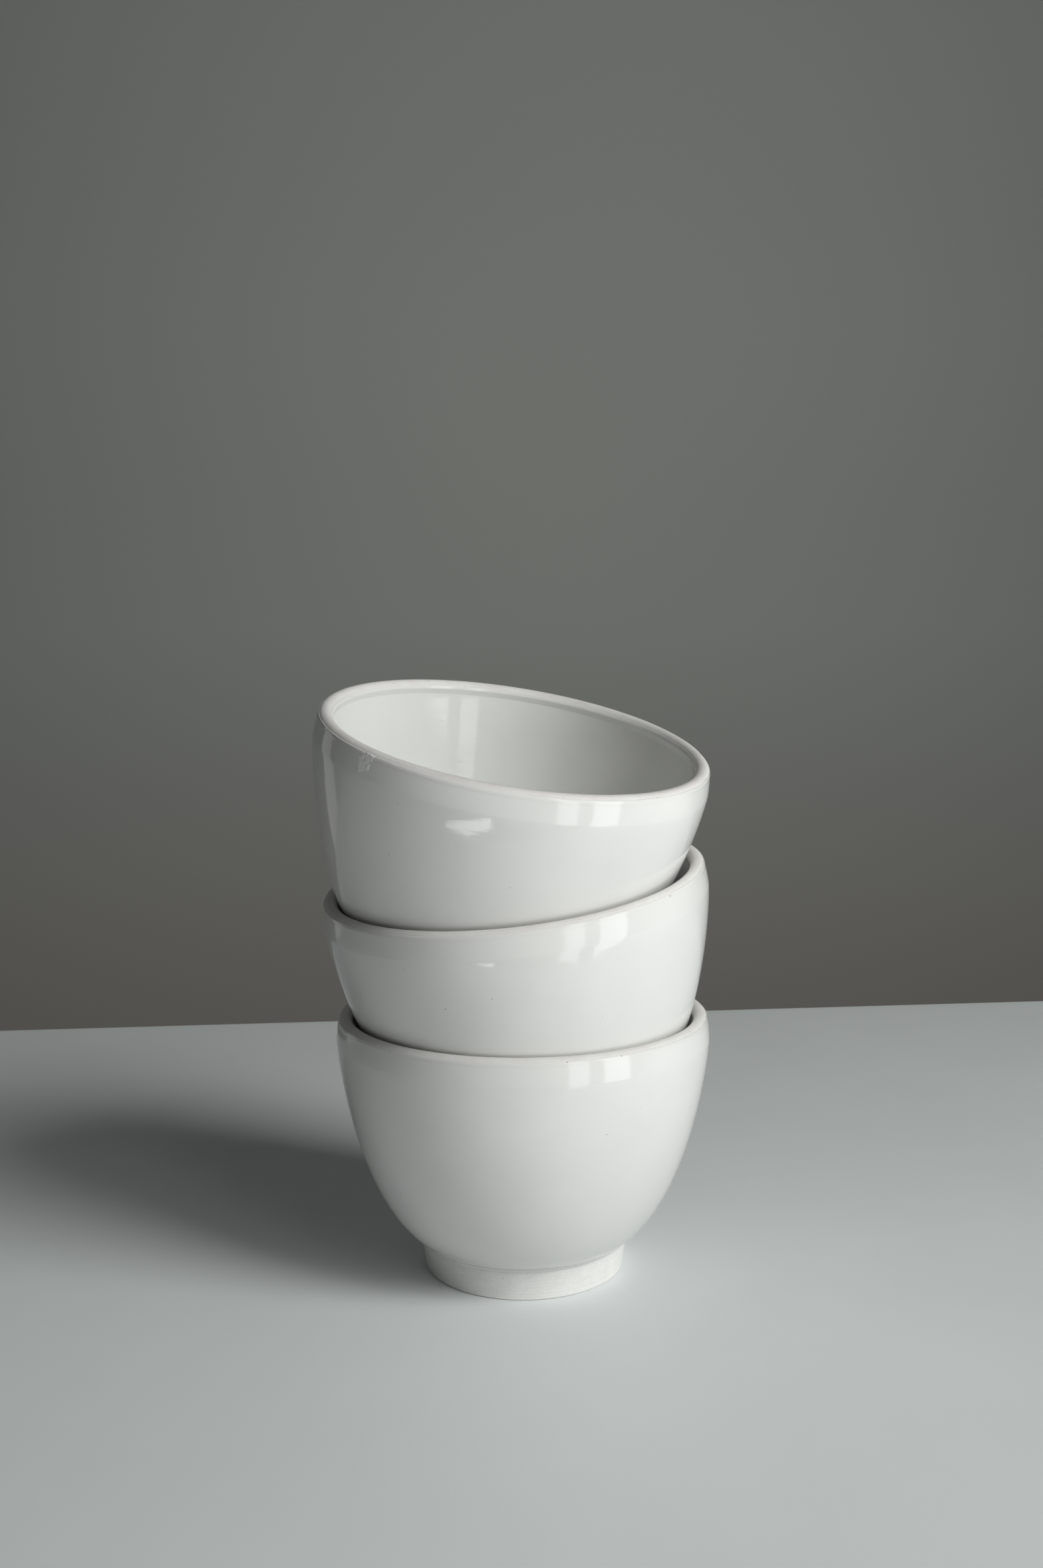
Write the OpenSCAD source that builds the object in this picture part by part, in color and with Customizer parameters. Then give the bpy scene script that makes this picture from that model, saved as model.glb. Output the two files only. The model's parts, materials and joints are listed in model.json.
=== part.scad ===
// A stack of three footed porcelain cups without handles, nested and leaning.
// Every cup is one fired piece: a biscuit body with a bare lip, a bare foot
// ring, and two coats of glaze. All four share one profile, turned about the
// cup's own axis. Origin: centre of the stack's box, on the table. +Z is up,
// -Y is the front. Millimetres.

/* [Cup] */
// Largest outside diameter of the lower cup, over the glaze
cup_d = 90; // [80:1:100]
// Height of the lower cup, from the table to the top of the lip
cup_h = 63; // [60:0.5:68]
// Height of the widest point above the table
widest_h = 57; // [54:0.5:58]
// Thickness of the bare, half-round lip
lip_t = 3.3; // [2.4:0.1:4.2]
// Height at which the bowl inside is widest, just below the lip
bowl_top_h = 60; // [58:0.5:61]
// Height of the bowl's floor above the table, inside the cup
floor_h = 10; // [9:0.5:14]

/* [Foot] */
// Height of the foot ring
foot_h = 8; // [6:0.5:8.5]
// Outside diameter of the foot ring where it meets the body
foot_top_d = 50.2; // [46:0.2:51]
// Outside diameter of the foot ring on the table
foot_base_d = 48.4; // [44:0.2:50]
// Width of the ring, measured across it on the table
foot_t = 4; // [3:0.25:6]
// Height of the recess inside the ring
well_h = 5; // [3:0.5:5.5]
// Chamfer on the two edges that touch the table
foot_chamfer = 0.6; // [0.3:0.1:1]

/* [Glaze] */
// Thickness of each coat of glaze
glaze_t = 0.2; // [0.1:0.05:0.4]

/* [Middle cup in the stack] */
// Size of the middle cup against the lower cup
middle_size = 1.023; // [1:0.001:1.03]
// Lean of the middle cup from upright, in degrees
middle_lean = 8.4; // [6:0.1:9]
// Direction that the middle cup leans in, in degrees from +X
middle_toward = 223; // [210:1:235]
// Place of the middle cup's foot along X, from the lower cup's axis
middle_x = 4.7; // [4.5:0.1:5.5]
// Place of the middle cup's foot along Y, from the lower cup's axis
middle_y = 3.5; // [3.4:0.1:4.2]
// Height of the middle cup's foot above the table
middle_z = 32.8; // [32.8:0.1:36]

/* [Upper cup in the stack] */
// Size of the upper cup against the lower cup
upper_size = 1.028; // [1:0.001:1.03]
// Lean of the upper cup from upright, in degrees
upper_lean = 14.4; // [12:0.1:15]
// Direction that the upper cup leans in, in degrees from +X
upper_toward = 311; // [300:1:320]
// Place of the upper cup's foot along X, from the lower cup's axis
upper_x = -11.8; // [-12.2:0.1:-11]
// Place of the upper cup's foot along Y, from the lower cup's axis
upper_y = 2.1; // [1.9:0.1:2.6]
// Height of the upper cup's foot above the table
upper_z = 68.2; // [68.2:0.1:72]

/* [Hidden] */
$fn = 120;

// Exponents of the curve that the wall follows, and of the one that the bowl follows:
// (depth / curve depth) ^ depth power + (radius / widest radius) ^ radius power = 1
wall_powers = [1.35, 3.8];
bowl_powers = [1.12, 3.6];
// Depth below the widest point at which the wall's curve would reach the axis
wall_depth = 54;
// Points along each curve, from the lip to its lower end
curve_steps = 34;
// Facets across the lip's half round
lip_steps = 14;
// The foot ring's inner wall opens out by this much from its top to the table
well_draft = 0.6;

wall_r = cup_d / 2;
bowl_depth = bowl_top_h - floor_h;
lip_h = cup_h - lip_t / 2;
lip_out_r = curve_r(wall_curve(wall_r - glaze_t), lip_h);
bowl_r = (lip_out_r - lip_t) / curve_r(bowl_curve(1, glaze_t), lip_h) - glaze_t;

// Each cup: size, lean, direction of the lean, centre of the foot on its base
lower = [1, 0, 0, [0, 0, 0]];
middle = [middle_size, middle_lean, middle_toward, [middle_x, middle_y, middle_z]];
upper = [upper_size, upper_lean, upper_toward, [upper_x, upper_y, upper_z]];
cups = [lower, middle, upper];

// A curve: widest radius, height of the widest point, depth, and the two exponents
function wall_curve(r) = [r, widest_h, wall_depth, wall_powers[0], wall_powers[1]];
function bowl_curve(r, deeper = 0) =
    [r, bowl_top_h, bowl_depth + deeper, bowl_powers[0], bowl_powers[1]];

// Radius of a curve at height h
function curve_r(curve, h) =
    curve[0] * pow(1 - pow(abs(curve[1] - h) / curve[2], curve[3]), 1 / curve[4]);

// Angle at which a curve reaches height h, negative above the widest point
function curve_angle(curve, h) =
    sign(curve[1] - h) * asin(pow(abs(curve[1] - h) / curve[2], curve[3] / 2));

// Point of a curve at angle a
function curve_point(curve, a) = [
    curve[0] * pow(cos(a), 2 / curve[4]),
    curve[1] - sign(a) * curve[2] * pow(abs(sin(a)), 2 / curve[3])
];

// Points of a curve from height h_start down to height h_end
function curve_points(curve, h_start, h_end) =
    let (a0 = curve_angle(curve, h_start), a1 = curve_angle(curve, h_end))
    [for (i = [0 : curve_steps]) curve_point(curve, a0 + (a1 - a0) * i / curve_steps)];

function reversed(points) = [for (i = [len(points) - 1 : -1 : 0]) points[i]];

// Radius of the foot ring's inner wall at height h
function well_r(h) = foot_base_d / 2 - foot_t - well_draft * h / foot_h;

wall_glaze = curve_points(wall_curve(wall_r), lip_h, foot_h);
wall_biscuit = curve_points(wall_curve(wall_r - glaze_t), lip_h, foot_h);
bowl_glaze = curve_points(bowl_curve(bowl_r), lip_h, floor_h);
bowl_biscuit = curve_points(bowl_curve(bowl_r + glaze_t, glaze_t), lip_h, floor_h - glaze_t);

// The lip's half round, from its inner side over the top to its outer side
lip_round = [
    for (i = [1 : lip_steps - 1])
        let (a = 180 - 180 * i / lip_steps)
        [lip_out_r - lip_t / 2 + lip_t / 2 * cos(a), lip_h + lip_t / 2 * sin(a)]
];

// Leaning axis of a cup, and how far it reaches along row axis k (0 is X, 1 is Y)
function axis_of(cup) =
    [sin(cup[1]) * cos(cup[2]), sin(cup[1]) * sin(cup[2]), cos(cup[1])];
function reach(cup, k, side) = [
    for (p = wall_glaze)
        cup[3][k] + cup[0] * (p[1] * axis_of(cup)[k] + side * p[0] * sqrt(1 - pow(axis_of(cup)[k], 2)))
];
function box_middle(k) =
    (max([for (cup = cups) max(reach(cup, k, 1))]) + min([for (cup = cups) min(reach(cup, k, -1))])) / 2;
stack_shift = [-box_middle(0), -box_middle(1), 0];

// Puts a cup's part in its place in the stack
module in_stack(cup) {
    translate(cup[3] + stack_shift)
        rotate(a = cup[1], v = [-sin(cup[2]), cos(cup[2]), 0])
            scale(cup[0]) children();
}

// Biscuit wall and floor, with the bare half-round lip
module cup_body(cup) {
    color([0.90, 0.89, 0.87]) in_stack(cup) rotate_extrude()
        polygon(concat(
            wall_biscuit,
            [[well_r(foot_h), foot_h], [well_r(well_h), well_h], [0, well_h]],
            reversed(bowl_biscuit),
            lip_round
        ));
}

// Bare foot ring, with a recess inside it
module foot_ring(cup) {
    base_r = foot_base_d / 2;
    color([0.86, 0.85, 0.82]) in_stack(cup) rotate_extrude() polygon([
        [well_r(0) + foot_chamfer, 0],
        [base_r - foot_chamfer, 0],
        [base_r, foot_chamfer],
        [foot_top_d / 2, foot_h],
        [well_r(foot_h), foot_h],
        [well_r(foot_chamfer), foot_chamfer]
    ]);
}

// Glaze on the outside, from the lip to the foot ring
module outer_glaze(cup) {
    color([0.94, 0.94, 0.93]) in_stack(cup) rotate_extrude()
        polygon(concat(wall_glaze, reversed(wall_biscuit)));
}

// Glaze in the bowl, from the lip to the floor
module inner_glaze(cup) {
    color([0.96, 0.96, 0.95]) in_stack(cup) rotate_extrude()
        polygon(concat(bowl_glaze, reversed(bowl_biscuit)));
}

cup_body(lower);  // lower_cup_body
foot_ring(lower);  // lower_cup_foot_ring
outer_glaze(lower);  // lower_cup_outer_glaze
inner_glaze(lower);  // lower_cup_inner_glaze
cup_body(middle);  // middle_cup_body
foot_ring(middle);  // middle_cup_foot_ring
outer_glaze(middle);  // middle_cup_outer_glaze
inner_glaze(middle);  // middle_cup_inner_glaze
cup_body(upper);  // upper_cup_body
foot_ring(upper);  // upper_cup_foot_ring
outer_glaze(upper);  // upper_cup_outer_glaze
inner_glaze(upper);  // upper_cup_inner_glaze
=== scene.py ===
"""Looks of a nested stack of three footed porcelain cups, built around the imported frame."""
import json
import math

import bmesh
import bpy
import numpy as np
from mathutils import Matrix, Vector


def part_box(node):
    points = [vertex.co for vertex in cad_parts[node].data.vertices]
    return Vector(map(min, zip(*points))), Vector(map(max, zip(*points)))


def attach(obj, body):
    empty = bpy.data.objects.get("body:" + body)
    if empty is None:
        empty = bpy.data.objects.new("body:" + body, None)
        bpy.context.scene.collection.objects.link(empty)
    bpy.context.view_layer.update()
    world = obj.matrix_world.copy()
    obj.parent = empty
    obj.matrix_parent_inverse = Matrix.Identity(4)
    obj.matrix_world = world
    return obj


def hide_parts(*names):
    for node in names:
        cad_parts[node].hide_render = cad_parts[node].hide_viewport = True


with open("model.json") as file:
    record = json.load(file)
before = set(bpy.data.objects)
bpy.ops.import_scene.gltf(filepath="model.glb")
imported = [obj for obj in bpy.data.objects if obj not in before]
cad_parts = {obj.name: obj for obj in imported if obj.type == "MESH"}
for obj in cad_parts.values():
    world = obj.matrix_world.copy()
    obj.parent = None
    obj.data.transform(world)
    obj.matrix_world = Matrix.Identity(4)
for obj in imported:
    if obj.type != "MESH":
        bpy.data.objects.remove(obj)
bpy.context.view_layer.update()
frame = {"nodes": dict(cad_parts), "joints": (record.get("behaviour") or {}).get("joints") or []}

MM = 0.001
TWO_PI = 2 * math.pi

# The cups' shared profile at size 1, in metres, as the design has it
WALL_R = 45 * MM  # widest radius, over the glaze
CUP_H = 63 * MM
WIDEST_H = 57 * MM
WALL_DEPTH = 54 * MM
WALL_POWERS = 1.35, 3.8
BOWL_TOP_H = 60 * MM
BOWL_POWERS = 1.12, 3.6
FLOOR_H = 10 * MM
LIP_T = 3.3 * MM
GLAZE_T = 0.2 * MM
FOOT_H = 8 * MM
FOOT_TOP_R = 25.1 * MM
FOOT_BASE_R = 24.2 * MM
FOOT_T = 4 * MM
WELL_H = 5 * MM
WELL_DRAFT = 0.6 * MM
FOOT_EDGE = 0.6 * MM

AROUND = 600  # points around each turned surface
SUNK = 0.05 * MM  # how far a glaze coat's hidden side lies inside the clay
SUNK_ON_LIP = 1.5 * SUNK  # the same on the lip, where the clay wobbles
HUB_R = 0.6 * MM  # radius of the innermost ring of a surface that reaches the axis

# How the glaze ends on the lip: angles in degrees, from the lip's outer side over the top to its inner side
OUTER_EDGE = 36
INNER_EDGE = 150
OUTER_ROUNDING = 10  # over this much of the lip the outer coat's edge swells to its thickness
INNER_ROUNDING = 12
OUTER_RIM_T = 0.12 * MM  # the coats' thickness on the lip
INNER_RIM_T = 0.08 * MM
LOWER_BEAD = 0.35 * MM  # radius of the outer coat's lower edge, above the foot ring


# ---------------------------------------------------------------- profile

def wall_curve(r):
    """The wall's curve: widest radius, its height, depth, and the two exponents."""
    return r, WIDEST_H, WALL_DEPTH, *WALL_POWERS


def bowl_curve(r, deeper=0):
    return r, BOWL_TOP_H, BOWL_TOP_H - FLOOR_H + deeper, *BOWL_POWERS


def curve_r(curve, h):
    """Radius of a curve at height h."""
    r, top, depth, depth_power, radius_power = curve
    return r * (1 - (abs(top - h) / depth) ** depth_power) ** (1 / radius_power)


def curve_points(curve, h_start, h_end, n):
    """n points of a curve from h_start down to h_end, as rows of radius and height."""
    r, top, depth, depth_power, radius_power = curve

    def angle(h):
        return math.copysign(math.asin(min(1, (abs(top - h) / depth) ** (depth_power / 2))), top - h)

    a = np.linspace(angle(h_start), angle(h_end), n)
    radius = r * np.cos(a).clip(0) ** (2 / radius_power)
    height = top - np.sign(a) * depth * np.abs(np.sin(a)) ** (2 / depth_power)
    return np.stack([radius, height], 1)


LIP_H = CUP_H - LIP_T / 2
LIP_OUT_R = curve_r(wall_curve(WALL_R - GLAZE_T), LIP_H)
LIP_MID_R = LIP_OUT_R - LIP_T / 2
CLAY_BOWL_R = (LIP_OUT_R - LIP_T) / curve_r(bowl_curve(1, GLAZE_T), LIP_H)
BOWL_R = CLAY_BOWL_R - GLAZE_T


def on_lip(angle, grow):
    """Radius and height on the lip's half round at an angle in degrees, grown over the clay."""
    a = np.radians(angle)
    return LIP_MID_R + (LIP_T / 2 + grow) * np.cos(a), LIP_H + (LIP_T / 2 + grow) * np.sin(a)


def well_r(h):
    """Radius of the foot ring's inner wall at height h."""
    return FOOT_BASE_R - FOOT_T - WELL_DRAFT * h / FOOT_H


def quarter(r_mid, h_mid, radius, a_start, a_end, n=7):
    """Points of a rounded corner, from one angle in degrees to another."""
    a = np.radians(np.linspace(a_start, a_end, n))
    return list(zip(r_mid + radius * np.cos(a), h_mid + radius * np.sin(a)))


# ---------------------------------------------------------------- turned meshes

PHI = np.arange(AROUND) * TWO_PI / AROUND


def waves(rng, swings, size):
    """A smooth closed wave round the cup, up to size, made of those numbers of swings a turn."""
    total = np.zeros(AROUND)
    for k in swings:
        total += rng.normal() * np.cos(k * PHI + rng.uniform(0, TWO_PI)) / math.sqrt(k)
    return size * total / np.abs(total).max()


def turned(name, rings, pose, ends=(False, False)):
    """Turns rings, each a radius and a height as numbers or arrays round the cup, into a closed
    mesh. ends says which ends reach the axis; with neither, the last ring meets the first."""
    ones = np.ones(AROUND)
    radius = np.array([ones * r for r, _ in rings])
    height = np.array([ones * h for _, h in rings])
    points = np.stack([radius * np.cos(PHI), radius * np.sin(PHI), height], -1).reshape(-1, 3)
    count = len(rings)
    spans = count - 1 if any(ends) else count
    ring, step = np.meshgrid(np.arange(spans), np.arange(AROUND), indexing="ij")
    after, beside = (ring + 1) % count, (step + 1) % AROUND
    corners = (ring * AROUND + step, after * AROUND + step, after * AROUND + beside, ring * AROUND + beside)
    faces = np.stack(corners, -1).reshape(-1, 4).tolist()
    points = points.tolist()
    for is_last, reaches_axis in enumerate(ends):
        if reaches_axis:
            first = (count - 1) * AROUND if is_last else 0
            points.append([0, 0, float(height[-is_last].mean())])
            faces += [(len(points) - 1, first + i, first + (i + 1) % AROUND) for i in range(AROUND)]
    mesh = bpy.data.meshes.new(name)
    mesh.from_pydata([pose @ Vector(p) for p in points], [], faces)
    work = bmesh.new()
    work.from_mesh(mesh)
    bmesh.ops.recalc_face_normals(work, faces=work.faces)
    work.to_mesh(mesh)
    work.free()
    mesh.polygons.foreach_set("use_smooth", [True] * len(mesh.polygons))
    piece = bpy.data.objects.new(name, mesh)
    bpy.context.scene.collection.objects.link(piece)
    return piece


# ---------------------------------------------------------------- the cups

def cup_pose(cup):
    """The matrix that puts a cup's own frame in its place: read from its CAD foot ring and glaze."""
    axis = Vector((0, 0, 1))
    for joint in frame["joints"]:
        if joint["child"] == cup:
            axis = Vector(joint["axis"]).normalized()

    def corners(part):
        return np.array([v.co for v in frame["nodes"][f"{cup}_{part}"].data.vertices])

    foot = corners("foot_ring")
    along = foot @ np.array(axis)
    base = np.unique(np.round(foot[along < along.min() + 0.02 * MM], 6), axis=0)
    centre = base.mean(0)
    wall = corners("outer_glaze") - centre
    out = wall - np.outer(wall @ np.array(axis), axis)
    size = float(np.linalg.norm(out, axis=1).max()) / WALL_R
    turn = Vector((0, 0, 1)).rotation_difference(axis)
    return Matrix.LocRotScale(Vector(centre), turn, Vector((size, size, size)))


def ragged(rng, angle, rough):
    """Angle round the lip at which a glaze coat ends, in degrees, at each point round the cup."""
    drift = 2.5
    fine_share = 0.6
    slow = waves(rng, range(2, 9), drift)
    uneven = waves(rng, range(12, 60), rough)
    fine = waves(rng, range(60, 170), rough * fine_share)
    return angle + slow + uneven + fine


def outer_glaze(cup, pose, rng):
    """The coat outside: a beaded, ragged edge on the lip, the wall, and a rounded lower edge."""
    edge = ragged(rng, OUTER_EDGE, 3.0)
    swing = 0.03 * MM
    ripple = waves(rng, range(2, 7), swing) - swing
    thickens_over = 3 * MM
    rings = []
    for share in np.linspace(0, 1, 9):
        grow = OUTER_RIM_T * math.sqrt(1 - (1 - share) ** 2) - SUNK * (1 - share)
        rings.append(on_lip(edge - OUTER_ROUNDING * share, grow))
    for share in np.linspace(0, 1, 10)[1:]:
        rings.append(on_lip((edge - OUTER_ROUNDING) * (1 - share), OUTER_RIM_T))
    wall = curve_points(wall_curve(WALL_R), LIP_H, FOOT_H + LOWER_BEAD, 100)[1:]
    depth = (LIP_H - wall[:, 1]) / (LIP_H - FOOT_H)
    for (r, h), down in zip(wall, depth):
        thinner = (GLAZE_T - OUTER_RIM_T) * math.exp(-(LIP_H - h) / thickens_over)
        rings.append((r + ripple * math.sin(math.pi * down) - thinner, h))
    low_r, low_h = wall[-1]
    rings += quarter(low_r - LOWER_BEAD, low_h, LOWER_BEAD, 20, -90)
    rings.append((low_r - 2.5 * LOWER_BEAD, FOOT_H))
    hidden_end = FOOT_H + 0.5 * MM
    hidden = curve_points(wall_curve(WALL_R - GLAZE_T - SUNK), LIP_H, hidden_end, 30)[::-1]
    rings += [tuple(p) for p in hidden]
    rings += [on_lip(edge * share, -SUNK_ON_LIP) for share in np.linspace(0, 1, 5)[1:]]
    return turned(f"{cup}_glaze_outside", rings, pose)


def inner_glaze(cup, pose, rng):
    """The coat in the bowl, from the centre of the floor to its ragged edge inside the lip."""
    edge = ragged(rng, INNER_EDGE, 2.5)
    ripple = waves(rng, range(2, 6), 0.02 * MM)
    bowl = curve_points(bowl_curve(BOWL_R), LIP_H, FLOOR_H, 110)[::-1]
    rings = []
    for r, h in bowl:
        if r > HUB_R:
            rings.append((r + ripple * (h - FLOOR_H) / (LIP_H - FLOOR_H), h))
    for share in np.linspace(0, 1, 9)[1:]:
        angle = 180 + (edge + INNER_ROUNDING - 180) * share
        rings.append(on_lip(angle, GLAZE_T + (INNER_RIM_T - GLAZE_T) * share))
    for share in np.linspace(0, 1, 8)[1:]:
        grow = INNER_RIM_T * math.sqrt(1 - share ** 2) - SUNK * share
        rings.append(on_lip(edge + INNER_ROUNDING * (1 - share), grow))
    for share in np.linspace(0, 1, 5)[1:]:
        rings.append(on_lip(edge + (180 - edge) * share, -SUNK_ON_LIP))
    hidden_curve = bowl_curve(CLAY_BOWL_R + SUNK, GLAZE_T + SUNK)
    hidden = curve_points(hidden_curve, LIP_H, FLOOR_H - GLAZE_T - SUNK, 30)[1:]
    rings += [tuple(p) for p in hidden if p[0] > HUB_R]
    return turned(f"{cup}_glaze_bowl", rings, pose, ends=(True, True))


def clay_body(cup, pose, rng):
    """The clay wall and floor. It shows at the lip, under the glaze's lower edge and in the well."""
    swing = 0.02 * MM
    wobble = waves(rng, range(2, 30), swing) - swing
    bowl = curve_points(bowl_curve(CLAY_BOWL_R, GLAZE_T), LIP_H, FLOOR_H - GLAZE_T, 28)[::-1]
    rings = [tuple(p) for p in bowl if p[0] > HUB_R]
    for angle in np.linspace(180, 0, 40)[1:-1]:
        rings.append(on_lip(angle, wobble * math.sin(math.radians(angle))))
    wall = curve_points(wall_curve(WALL_R - GLAZE_T), LIP_H, FOOT_H + 0.3 * MM, 30)
    rings += [tuple(p) for p in wall]
    low_r = wall[-1][0]
    rings += [(low_r - 0.25 * MM, FOOT_H), (well_r(FOOT_H), FOOT_H)]
    corner = 0.5 * MM
    rings += quarter(well_r(WELL_H) - corner, WELL_H + corner, corner, 0, -90)
    line_depth, line_width = 0.035 * MM, 0.42 * MM
    for r in np.linspace(well_r(WELL_H) - 2 * corner, HUB_R, 60):
        rings.append((r, WELL_H + line_depth * math.sin(r / line_width)))
    return turned(f"{cup}_clay_body", rings, pose, ends=(True, True))


def foot_ring(cup, pose, rng):
    """The bare foot ring, with rounded edges and the fine lines that turning left."""
    swing, inset = 0.03 * MM, 0.05 * MM
    wobble = waves(rng, range(2, 12), swing) - inset
    rings = quarter(FOOT_BASE_R - FOOT_EDGE, FOOT_EDGE, FOOT_EDGE, -90, -8)
    fine_depth, fine_width = 0.018 * MM, 0.13 * MM
    broad_depth, broad_width = 0.012 * MM, 0.31 * MM
    for h in np.linspace(FOOT_EDGE * 1.05, FOOT_H, 60):
        line = fine_depth * math.sin(h / fine_width) + broad_depth * math.sin(h / broad_width + 1)
        r = FOOT_BASE_R + (FOOT_TOP_R - FOOT_BASE_R) * (h - FOOT_EDGE) / (FOOT_H - FOOT_EDGE)
        rings.append((r + line + wobble, h))
    inner = well_r(FOOT_EDGE)
    rings += [(well_r(h), h) for h in np.linspace(FOOT_H, FOOT_EDGE, 24)]
    rings += quarter(inner + FOOT_EDGE, FOOT_EDGE, FOOT_EDGE, 188, 270)
    flat = np.linspace(inner + FOOT_EDGE, FOOT_BASE_R - FOOT_EDGE, 12)[1:-1]
    rings += [(r, 0.0) for r in flat]
    return turned(f"{cup}_clay_foot", rings, pose)


# ---------------------------------------------------------------- materials

class Nodes:
    """A material's node tree, with short ways to add what this file uses again and again."""

    def __init__(self, name, pose=Matrix()):
        self.material = bpy.data.materials.new(name)
        self.material.use_nodes = True
        self.tree = self.material.node_tree
        self.shader = self.tree.nodes["Principled BSDF"]
        where, turn, size = pose.decompose()
        own_frame = {"Vector": self.add("ShaderNodeTexCoord").outputs["Object"],
                     "Location": where, "Rotation": turn.to_euler(), "Scale": size}
        self.place = self.add("ShaderNodeMapping", own_frame, vector_type="TEXTURE").outputs["Vector"]

    def add(self, kind, inputs=(), **settings):
        node = self.tree.nodes.new(kind)
        for key, value in settings.items():
            setattr(node, key, value)
        for socket, value in dict(inputs).items():
            self.put(value, node.inputs[socket])
        return node

    def put(self, value, socket):
        if isinstance(value, bpy.types.NodeSocket):
            self.tree.links.new(value, socket)
        else:
            socket.default_value = value

    def moved(self, seed, stretch=(1, 1, 1)):
        """The place, shifted by a seed so that no two cups match, and stretched."""
        shift = (0.37 * seed, 0.11 * seed, 0.23 * seed)
        inputs = {"Vector": self.place, "Location": shift, "Scale": stretch}
        return self.add("ShaderNodeMapping", inputs).outputs["Vector"]

    def noise(self, place, size, detail=2.0, rough=0.5):
        """Noise whose features are about size metres across."""
        inputs = {"Vector": place, "Scale": 1 / size, "Detail": detail, "Roughness": rough}
        return self.add("ShaderNodeTexNoise", inputs).outputs["Fac"]

    def remap(self, value, low, high, to_low=0.0, to_high=1.0):
        inputs = {"Value": value, "From Min": low, "From Max": high, "To Min": to_low, "To Max": to_high}
        return self.add("ShaderNodeMapRange", inputs).outputs["Result"]

    def math(self, operation, a, b):
        return self.add("ShaderNodeMath", {0: a, 1: b}, operation=operation).outputs[0]

    def mix(self, share, a, b):
        node = self.add("ShaderNodeMix", data_type="RGBA")
        self.put(share, node.inputs["Factor"])
        self.put(a, node.inputs["A"])
        self.put(b, node.inputs["B"])
        return node.outputs["Result"]

    def height(self):
        return self.add("ShaderNodeSeparateXYZ", {0: self.place}).outputs["Z"]

    def distance(self, point):
        """Distance from a point, given in the piece's own frame."""
        inputs = {0: self.place, 1: point}
        return self.add("ShaderNodeVectorMath", inputs, operation="DISTANCE").outputs["Value"]

    def specks(self, place, spacing, radius):
        """1 inside small specks about spacing apart in space, 0 elsewhere."""
        inputs = {"Vector": place, "Scale": 1 / spacing}
        near = self.add("ShaderNodeTexVoronoi", inputs).outputs["Distance"]
        return self.remap(near, radius / spacing, 0.7 * radius / spacing)

    def bump(self, layers):
        """Chains bumps, each a height, its strength and its depth in metres, into the shader."""
        normal = None
        for value, strength, depth in layers:
            node = self.add("ShaderNodeBump", {"Height": value, "Strength": strength, "Distance": depth})
            if normal:
                self.put(normal, node.inputs["Normal"])
            normal = node.outputs["Normal"]
        self.put(normal, self.shader.inputs["Normal"])


def rgb(r, g, b):
    return (r, g, b, 1.0)


GLAZE_PALE, GLAZE_CLOUDY = rgb(0.800, 0.800, 0.778), rgb(0.765, 0.768, 0.748)
GLAZE_POOLED = rgb(0.735, 0.745, 0.725)  # where the glaze ran together, low down
GLAZE_THIN = rgb(0.755, 0.730, 0.710)  # where the clay shows through, at the lip
GLAZE_DIRT = rgb(0.16, 0.14, 0.12)
# The next colour whitens the glaze over a raised blister: a painted highlight.
GLAZE_BLISTER_AND_HIGHLIGHT = rgb(0.93, 0.93, 0.92)
LIP_PALE, LIP_WARM = rgb(0.780, 0.765, 0.745), rgb(0.735, 0.710, 0.685)
FOOT_PALE, FOOT_WARM = rgb(0.90, 0.89, 0.87), rgb(0.85, 0.84, 0.815)
CLAY_GRAIN, CLAY_DIRT = rgb(0.50, 0.47, 0.44), rgb(0.15, 0.13, 0.11)
TABLE_PALE, TABLE_DULL = rgb(0.850, 0.880, 0.885), rgb(0.825, 0.855, 0.865)
# The wall's colours paint light and shade: a lit middle, painted shade at the sides, and darker, browner
# painted shade at the foot.
WALL_LIT_MIDDLE, WALL_SHADED_SIDES = rgb(0.575, 0.59, 0.55), rgb(0.48, 0.505, 0.485)
WALL_SHADED_FOOT = rgb(0.43, 0.40, 0.37)


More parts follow.
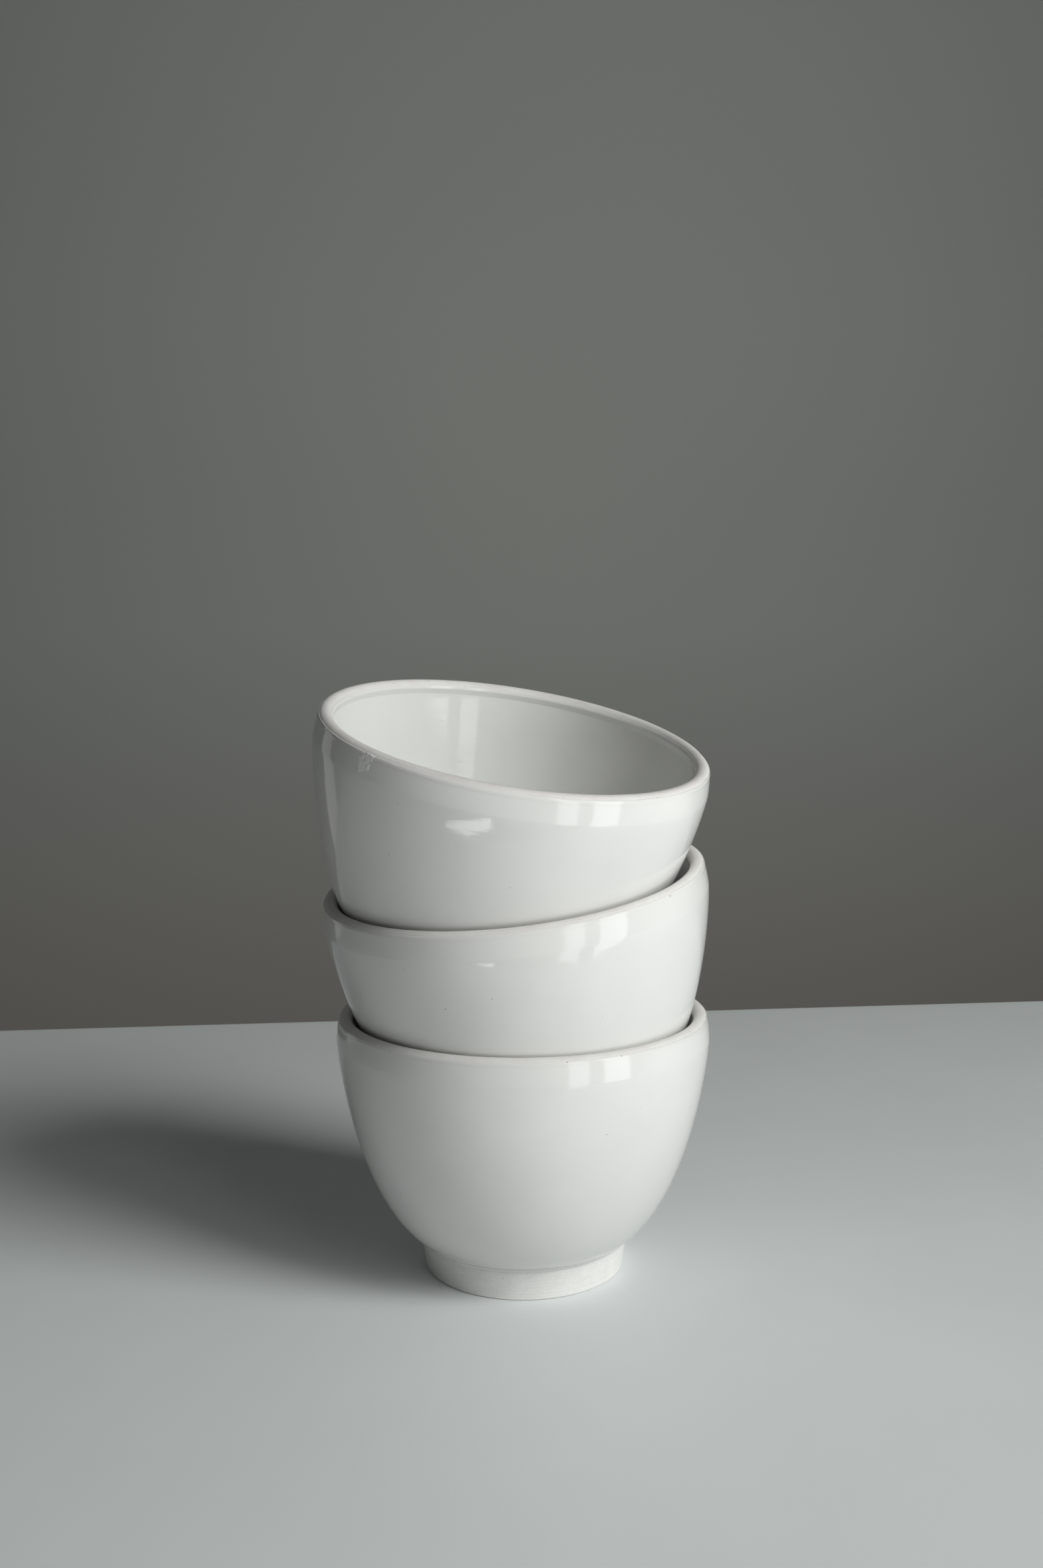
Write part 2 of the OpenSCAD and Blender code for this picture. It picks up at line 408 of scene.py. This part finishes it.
def glaze_material(name, pose, seed, low_end, flaw_and_highlight=None):
    """Clear gloss glaze over white porcelain: faint cloudiness, thin at its edge, few pinholes.
    low_end is the height at which it pools; the last argument places a raised, rougher glaze bubble whose
    whitened colour is a painted highlight."""
    m = Nodes(name, pose)
    place = m.moved(seed)
    clouds = m.noise(place, 22 * MM, 3)
    colour = m.mix(m.remap(clouds, 0.35, 0.65), GLAZE_PALE, GLAZE_CLOUDY)
    pool = m.remap(m.height(), low_end + 7 * MM, low_end)
    colour = m.mix(m.math("MULTIPLY", pool, 0.5), colour, GLAZE_POOLED)
    thin = m.remap(m.height(), LIP_H - 0.6 * MM, LIP_H + 1.1 * MM)
    colour = m.mix(m.math("MULTIPLY", thin, 0.4), colour, GLAZE_THIN)
    at_edge = m.remap(m.height(), LIP_H + 0.2 * MM, LIP_H + 0.5 * MM)
    edge_dirt = m.math("MULTIPLY", m.specks(place, 2.2 * MM, 0.22 * MM), at_edge)
    pinholes = m.specks(place, 7 * MM, 0.18 * MM)
    dirt = m.math("MULTIPLY", m.math("MAXIMUM", pinholes, edge_dirt), 0.75)
    colour = m.mix(dirt, colour, GLAZE_DIRT)
    rough = m.remap(m.noise(place, 9 * MM, 4, 0.6), 0.3, 0.7, 0.05, 0.10)
    thrown = m.noise(m.moved(seed, (1, 1, 9)), 14 * MM, 2)
    relief = [
        (m.noise(place, 9 * MM, 1), 1.0, 0.04 * MM),
        (thrown, 1.0, 0.02 * MM),
        (m.noise(place, 0.45 * MM, 1), 1.0, 0.005 * MM),
    ]
    # A raised, rougher glaze blister; the whitening of its colour below is a painted highlight.
    if flaw_and_highlight:
        away = m.distance(flaw_and_highlight)
        uneven = m.remap(m.noise(place, 1.6 * MM, 3), 0.3, 0.7, -1.5 * MM, 1.5 * MM)
        blister_and_highlight = m.remap(m.math("ADD", away, uneven), 2.5 * MM, 1.9 * MM)
        # painted highlight: the blister's colour whitened towards near white
        colour = m.mix(m.math("MULTIPLY", blister_and_highlight, 0.6), colour, GLAZE_BLISTER_AND_HIGHLIGHT)
        rough = m.math("MAXIMUM", rough, m.math("MULTIPLY", blister_and_highlight, 0.45))
        relief.append((m.math("MULTIPLY", blister_and_highlight, m.noise(place, 0.8 * MM, 3)), 1.0, 0.25 * MM))
    m.put(colour, m.shader.inputs["Base Color"])
    m.put(rough, m.shader.inputs["Roughness"])
    m.bump(relief)
    m.shader.inputs["IOR"].default_value = 1.5
    return m.material


def clay_material(name, pose, seed, pale, warm):
    """Bare fired clay: matte, finely grainy, with faint stains and a few dark specks."""
    m = Nodes(name, pose)
    place = m.moved(seed)
    colour = m.mix(m.remap(m.noise(place, 5 * MM, 4, 0.6), 0.35, 0.65), pale, warm)
    grain = m.noise(place, 0.35 * MM, 3, 0.6)
    dark = m.mix(m.remap(grain, 0.55, 0.75, 0.0, 0.35), colour, CLAY_GRAIN)
    dirt = m.math("MULTIPLY", m.specks(place, 4 * MM, 0.15 * MM), 0.8)
    m.put(m.mix(dirt, dark, CLAY_DIRT), m.shader.inputs["Base Color"])
    m.put(m.remap(grain, 0.3, 0.7, 0.62, 0.85), m.shader.inputs["Roughness"])
    m.bump([
        (m.noise(place, 1.6 * MM, 2), 0.6, 0.02 * MM),
        (grain, 0.7, 0.018 * MM),
    ])
    return m.material


def table_material():
    """Pale, slightly bluish painted table top with a soft sheen."""
    m = Nodes("table_paint")
    place = m.moved(1)
    colour = m.mix(m.remap(m.noise(place, 60 * MM, 3), 0.3, 0.7), TABLE_PALE, TABLE_DULL)
    m.put(colour, m.shader.inputs["Base Color"])
    m.put(m.remap(m.noise(place, 12 * MM, 4), 0.3, 0.7, 0.42, 0.55), m.shader.inputs["Roughness"])
    m.bump([(m.noise(place, 1.2 * MM, 3), 0.5, 0.01 * MM)])
    return m.material


def wall_material():
    """Grey wall with painted light and shade: a painted pool of light makes it palest in a wide soft round
    behind the stack, and painted shade makes it darker towards its sides and darker and browner towards its
    foot.
    Its places are measured from the middle of the wall."""
    m = Nodes("wall_paint_and_painted_light")
    # painted pool of light in a round behind the stack, fading to painted shade towards the sides
    away = m.distance((0, 0, -0.15))
    colour = m.mix(m.remap(away, 0.05, 0.9), WALL_LIT_MIDDLE, WALL_SHADED_SIDES)
    # painted shade: darker and browner towards the wall's foot
    low = m.remap(m.height(), -0.35, -0.85)
    m.put(m.mix(low, colour, WALL_SHADED_FOOT), m.shader.inputs["Base Color"])
    m.shader.inputs["Roughness"].default_value = 0.95
    m.bump([(m.noise(m.place, 6 * MM, 3), 0.2, 0.05 * MM)])
    return m.material


# ---------------------------------------------------------------- camera, stage and light

FOCAL_LENGTH, FILM_HEIGHT = 35.1, 36  # in millimetres, as Blender takes them
CAMERA_PLACE = (0, -363.1 * MM, 156.0 * MM)  # from the middle of the stack's foot
CAMERA_PITCH, CAMERA_ROLL = 6.03, 0.35  # degrees
AIM_H = 0.08  # height on the stack from which the lights' directions are measured


def stand():
    """Where the lower cup's axis meets the table."""
    low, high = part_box("lower_cup_foot_ring")
    return Vector(((low.x + high.x) / 2, (low.y + high.y) / 2, 0))


def add_camera():
    """A camera a little above the stack, turned down at it."""
    data = bpy.data.cameras.new("camera")
    data.sensor_fit = "VERTICAL"
    data.sensor_height = FILM_HEIGHT
    data.lens = FOCAL_LENGTH
    camera = bpy.data.objects.new("camera", data)
    bpy.context.scene.collection.objects.link(camera)
    camera.location = stand() + Vector(CAMERA_PLACE)
    pitch, roll = math.radians(CAMERA_PITCH), math.radians(CAMERA_ROLL)
    facing = Matrix.Rotation(math.pi / 2 - pitch, 3, "X") @ Matrix.Rotation(-roll, 3, "Z")
    camera.rotation_euler = facing.to_euler()
    bpy.context.scene.camera = camera


def slab(name, size, middle, turn, material, edge):
    """A box with rounded edges, for the stage."""
    bpy.ops.mesh.primitive_cube_add(size=1, location=middle)
    obj = bpy.context.object
    obj.name = name
    obj.scale = size
    obj.rotation_euler = (0, 0, turn)
    bpy.ops.object.transform_apply(location=False, rotation=False, scale=True)
    round_edges = obj.modifiers.new("round", "BEVEL")
    round_edges.width = edge
    round_edges.segments = 8
    for face in obj.data.polygons:
        face.use_smooth = True
    obj.data.materials.append(material)


def add_stage():
    """The table that the stack stands on and the wall behind it."""
    foot = stand()
    front, back, thick, turn = -0.17, 0.245, 0.03, math.radians(5)
    middle = foot + Vector((0, (front + back) / 2, -thick / 2))
    slab("stage_table", (3.0, back - front, thick), middle, turn, table_material(), 0.014)
    wall_size = (6.0, 0.1, 5.0)
    wall_middle = foot + Vector((0, 1.6, 0.5))
    slab("stage_wall", wall_size, wall_middle, 0, wall_material(), 0.002)


def panel(name, across, rise, radiance, colour=(1, 1, 1), away=0.9, mirrored=True):
    """An upright soft light, seen from the stack across those directions, in degrees from the front
    round to the right, and over those heights, in degrees above the table. radiance is how bright
    its face is, away its distance, and mirrored says whether the glaze mirrors it."""
    towards = math.radians(sum(across) / 2)
    low, high = (away * math.tan(math.radians(e)) for e in rise)
    data = bpy.data.lights.new(name, "AREA")
    data.shape = "RECTANGLE"
    data.size = 2 * away * math.tan(math.radians(across[1] - across[0]) / 2)
    data.size_y = high - low
    data.energy = radiance * math.pi * data.size * data.size_y
    data.color = colour
    light = bpy.data.objects.new(name, data)
    bpy.context.scene.collection.objects.link(light)
    outward = Vector((math.sin(towards), -math.cos(towards), 0))
    light.location = stand() + outward * away + Vector((0, 0, AIM_H + (low + high) / 2))
    light.rotation_euler = (-outward).to_track_quat("-Z", "Y").to_euler()
    light.visible_glossy = mirrored


def add_light():
    """A tall two-pane window to the front right with the sky in it, the lit room in front, a patch
    of lit floor to the left, a dim strip behind to the left, and a little light from all round."""
    cool = (0.985, 1.0, 0.985)
    panel("pane_near", (26, 38), (-30, 42), 2.2, cool)
    panel("pane_far", (47, 64), (-30, 42), 2.7, cool)
    panel("sky", (40, 68), (24, 50), 10.0, cool, mirrored=False)
    panel("room_front", (-12, 44), (-24, -3), 1.3, mirrored=False)
    panel("floor_patch", (-41, -13), (-37, -31), 4.5)
    panel("back_strip", (-131, -118), (-20, 40), 0.4)
    world = bpy.data.worlds.new("room")
    bpy.context.scene.world = world
    world.use_nodes = True
    ground = world.node_tree.nodes["Background"]
    ground.inputs["Color"].default_value = (0.95, 1.0, 0.96, 1)
    ground.inputs["Strength"].default_value = 0.035


# ---------------------------------------------------------------- putting it together

def build_cup(cup, seed, flaw_and_highlight=None):
    """Makes a cup's four pieces. Their random draws come in the order of pieces."""
    pose = cup_pose(cup)
    rng = np.random.default_rng(seed)
    outside = glaze_material(f"{cup}_glaze_outside", pose, seed, FOOT_H, flaw_and_highlight)
    bowl = glaze_material(f"{cup}_glaze_bowl", pose, seed + 5, FLOOR_H)
    lip = clay_material(f"{cup}_bare_clay", pose, seed, LIP_PALE, LIP_WARM)
    foot = clay_material(f"{cup}_foot_clay", pose, seed + 9, FOOT_PALE, FOOT_WARM)
    pieces = (
        (outer_glaze, "outer_glaze", "outer_glaze", outside),
        (inner_glaze, "inner_glaze", "bowl_glaze", bowl),
        (clay_body, "body", "biscuit_body", lip),
        (foot_ring, "foot_ring", "biscuit_foot", foot),
    )
    for make, node, slot, material in pieces:
        piece = make(cup, pose, rng)
        piece.data.materials.append(material)
        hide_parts(f"{cup}_{node}")
        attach(piece, cup)


bpy.context.scene.view_settings.view_transform = "Standard"
add_camera()
build_cup("lower_cup", 10)
build_cup("middle_cup", 20)
# The upper cup's raised glaze blister also carries a painted highlight in its whitened colour.
build_cup("upper_cup", 30, flaw_and_highlight=(-30.6 * MM, -32.6 * MM, 60.4 * MM))
add_stage()
add_light()
